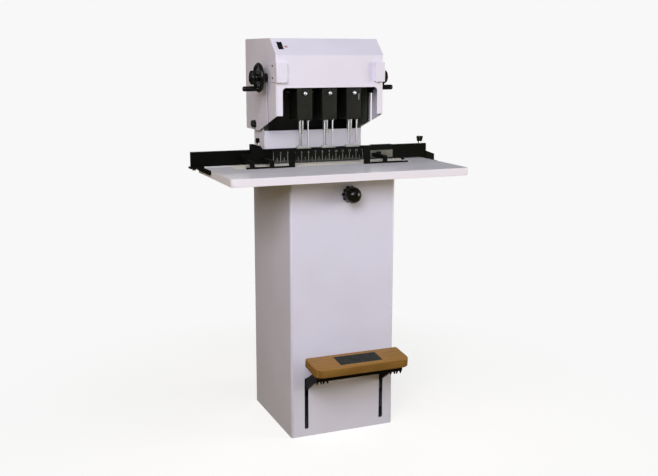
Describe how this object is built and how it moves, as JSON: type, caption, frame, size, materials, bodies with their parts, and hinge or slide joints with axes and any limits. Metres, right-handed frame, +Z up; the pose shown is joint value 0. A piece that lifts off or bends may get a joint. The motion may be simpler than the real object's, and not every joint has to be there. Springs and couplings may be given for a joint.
{
  "type": "paper drill",
  "caption": "Floor-standing paper drill: foot treadle lifts the table to three spindles under a hood; fence, side guides and screw-moved outer heads.",
  "frame": {"origin": "on the floor under the middle of the cabinet's base", "axes": "+Z up, the operator's side faces -Y, +X to the operator's right"},
  "size_m": [0.9, 0.6125, 1.3125],
  "materials": {
    "cabinet_paint": "light grey-white powder coat",
    "cover_paint": "white powder coat",
    "grey_paint": "satin",
    "black_paint": "satin",
    "laminate": "white laminate on board",
    "strip_plastic": "matte",
    "oak": "varnished oak",
    "pad_rubber": "ribbed",
    "steel": "brushed",
    "chrome": "polished",
    "bronze": "turned",
    "black_plastic": "moulded phenolic",
    "cast_dark": "charcoal coated casting",
    "scale_black": "printed scale",
    "guide_black": "satin"
  },
  "bodies": {
    "cabinet": {"cabinet_shell": "cabinet_paint", "cabinet_base": "grey_paint", "cabinet_back": "cabinet_paint", "case_screws": "steel", "bushings": "bronze", "treadle_bearings": "grey_paint", "column_casing": "cabinet_paint", "inner_plates": "black_paint", "guide_rods": "chrome", "cover": "cover_paint", "switch_frame": "black_plastic", "corner_brackets": "cover_paint", "chip_chute": "steel", "chip_bin": "grey_paint", "power_inlet": "black_plastic", "head_block_centre": "cast_dark", "head_motor_centre": "grey_paint"},
    "rocker": {"rocker": "black_plastic"},
    "cover_screw_left": {"cover_thumb_screw_left": "black_plastic"},
    "cover_screw_right": {"cover_thumb_screw_right": "black_plastic"},
    "table": {"table_board": "laminate", "cutting_strip": "strip_plastic", "edge_rails": "black_paint", "lift_posts": "chrome", "lift_yoke": "grey_paint", "return_springs": "steel"},
    "treadle": {"treadle_shaft": "steel", "treadle_frame": "black_paint", "treadle_board": "oak", "treadle_pad": "pad_rubber", "treadle_wing_nuts": "steel", "treadle_lever": "black_paint"},
    "roller": {"treadle_roller": "steel"},
    "stop_knob": {"height_knob": "black_plastic", "cam_shaft": "steel"},
    "fence": {"fence_bar": "black_paint", "fence_scale": "scale_black", "fence_end_brackets": "black_paint"},
    "lock_screw": {"fence_lock_screw": "chrome"},
    "lock_knob": {"fence_lock_knob": "black_plastic"},
    "guide_left": {"side_guide_left": "guide_black"},
    "guide_right": {"side_guide_right": "guide_black"},
    "clamp_left": {"guide_knob_left": "black_plastic"},
    "clamp_right": {"guide_knob_right": "black_plastic"},
    "wheel_left": {"lead_screw_left": "steel", "handwheel_left": "black_plastic"},
    "wheel_right": {"lead_screw_right": "steel", "handwheel_right": "black_plastic"},
    "grip_left": {"crank_grip_left": "black_plastic"},
    "grip_right": {"crank_grip_right": "black_plastic"},
    "head_left": {"head_block_left": "cast_dark", "head_motor_left": "grey_paint"},
    "head_right": {"head_block_right": "cast_dark", "head_motor_right": "grey_paint"},
    "spindle_left": {"spindle_left": "chrome"},
    "presser_left": {"presser_foot_left": "steel"},
    "spindle_centre": {"spindle_centre": "chrome"},
    "presser_centre": {"presser_foot_centre": "steel"},
    "spindle_right": {"spindle_right": "chrome"},
    "presser_right": {"presser_foot_right": "steel"}
  },
  "joints": [
    {"name": "table_lift", "type": "slide", "parent": "cabinet", "child": "table", "axis": [0, 0, 1], "range_m": [0, 0.0598], "stiffness_N_per_m": 1000, "springref_m": -0.02, "deforming": ["return_springs"]},
    {"name": "treadle_press", "type": "hinge", "parent": "cabinet", "child": "treadle", "pos_m": [0, -0.06, 0.12], "axis": [1, 0, 0], "range_deg": [0, 26.65]},
    {"name": "roller_spin", "type": "hinge", "parent": "treadle", "child": "roller", "pos_m": [0, 0.0664, 0.0897], "axis": [1, 0, 0], "continuous": true},
    {"name": "stop_turn", "type": "hinge", "parent": "cabinet", "child": "stop_knob", "pos_m": [0.0185, -0.189, 0.8165], "axis": [0, 1, 0], "range_deg": [-170, 170]},
    {"name": "fence_depth", "type": "slide", "parent": "table", "child": "fence", "axis": [0, 1, 0], "range_m": [-0.045, 0.025]},
    {"name": "fence_screw_turn", "type": "hinge", "parent": "fence", "child": "lock_screw", "pos_m": [-0.437, 0.036, 0.892], "axis": [0, 0, 1], "range_deg": [-360, 360]},
    {"name": "fence_knob_turn", "type": "hinge", "parent": "fence", "child": "lock_knob", "pos_m": [0.3905, 0.037, 0.955], "axis": [0, 0, 1], "range_deg": [-360, 360]},
    {"name": "guide_left_slide", "type": "slide", "parent": "fence", "child": "guide_left", "axis": [1, 0, 0], "range_m": [-0.11, 0]},
    {"name": "guide_right_slide", "type": "slide", "parent": "fence", "child": "guide_right", "axis": [1, 0, 0], "range_m": [0, 0.1]},
    {"name": "clamp_left_turn", "type": "hinge", "parent": "guide_left", "child": "clamp_left", "pos_m": [-0.2175, 0.038, 0.971], "axis": [0, 0, 1], "range_deg": [-360, 360]},
    {"name": "clamp_right_turn", "type": "hinge", "parent": "guide_right", "child": "clamp_right", "pos_m": [0.2235, 0.0248, 0.9195], "axis": [0, 1, 0], "range_deg": [-360, 360]},
    {"name": "wheel_left_turn", "type": "hinge", "parent": "cabinet", "child": "wheel_left", "pos_m": [-0.22, 0.012, 1.186], "axis": [1, 0, 0], "range_deg": [-792.5, 648.5]},
    {"name": "wheel_right_turn", "type": "hinge", "parent": "cabinet", "child": "wheel_right", "pos_m": [0.213, 0.012, 1.186], "axis": [1, 0, 0], "range_deg": [-648.5, 792.5]},
    {"name": "head_left_slide", "type": "slide", "parent": "cabinet", "child": "head_left", "axis": [1, 0, 0], "range_m": [-0.022, 0.018]},
    {"name": "head_right_slide", "type": "slide", "parent": "cabinet", "child": "head_right", "axis": [1, 0, 0], "range_m": [-0.018, 0.022]},
    {"name": "grip_left_spin", "type": "hinge", "parent": "wheel_left", "child": "grip_left", "pos_m": [-0.25, 0.012, 1.15], "axis": [1, 0, 0], "continuous": true},
    {"name": "grip_right_spin", "type": "hinge", "parent": "wheel_right", "child": "grip_right", "pos_m": [0.243, 0.012, 1.15], "axis": [1, 0, 0], "continuous": true},
    {"name": "spindle_left_spin", "type": "hinge", "parent": "head_left", "child": "spindle_left", "pos_m": [-0.089, -0.033, 1.1], "axis": [0, 0, 1], "continuous": true},
    {"name": "presser_left_lift", "type": "slide", "parent": "head_left", "child": "presser_left", "axis": [0, 0, 1], "range_m": [0, 0.04], "stiffness_N_per_m": 300, "springref_m": -0.01},
    {"name": "spindle_centre_spin", "type": "hinge", "parent": "cabinet", "child": "spindle_centre", "pos_m": [-0.0015, -0.033, 1.1], "axis": [0, 0, 1], "continuous": true},
    {"name": "presser_centre_lift", "type": "slide", "parent": "cabinet", "child": "presser_centre", "axis": [0, 0, 1], "range_m": [0, 0.04], "stiffness_N_per_m": 300, "springref_m": -0.01},
    {"name": "spindle_right_spin", "type": "hinge", "parent": "head_right", "child": "spindle_right", "pos_m": [0.086, -0.033, 1.1], "axis": [0, 0, 1], "continuous": true},
    {"name": "presser_right_lift", "type": "slide", "parent": "head_right", "child": "presser_right", "axis": [0, 0, 1], "range_m": [0, 0.04], "stiffness_N_per_m": 300, "springref_m": -0.01},
    {"name": "rocker_tip", "type": "hinge", "parent": "cabinet", "child": "rocker", "pos_m": [-0.1648, -0.04282, 1.2852], "axis": [1, 0, 0], "range_deg": [0, 22]},
    {"name": "cover_screw_left_turn", "type": "hinge", "parent": "cabinet", "child": "cover_screw_left", "pos_m": [-0.19, 0.1445, 1.026], "axis": [1, 0, 0], "range_deg": [-720, 0]},
    {"name": "cover_screw_right_turn", "type": "hinge", "parent": "cabinet", "child": "cover_screw_right", "pos_m": [0.19, 0.1445, 1.026], "axis": [1, 0, 0], "range_deg": [-720, 0]}
  ],
  "couplings": [
    {"joint": "treadle_press", "follows": "table_lift", "rad_per_m": 7.763},
    {"joint": "wheel_left_turn", "follows": "head_left_slide", "rad_per_m": 628.32},
    {"joint": "wheel_right_turn", "follows": "head_right_slide", "rad_per_m": 628.32}
  ]
}
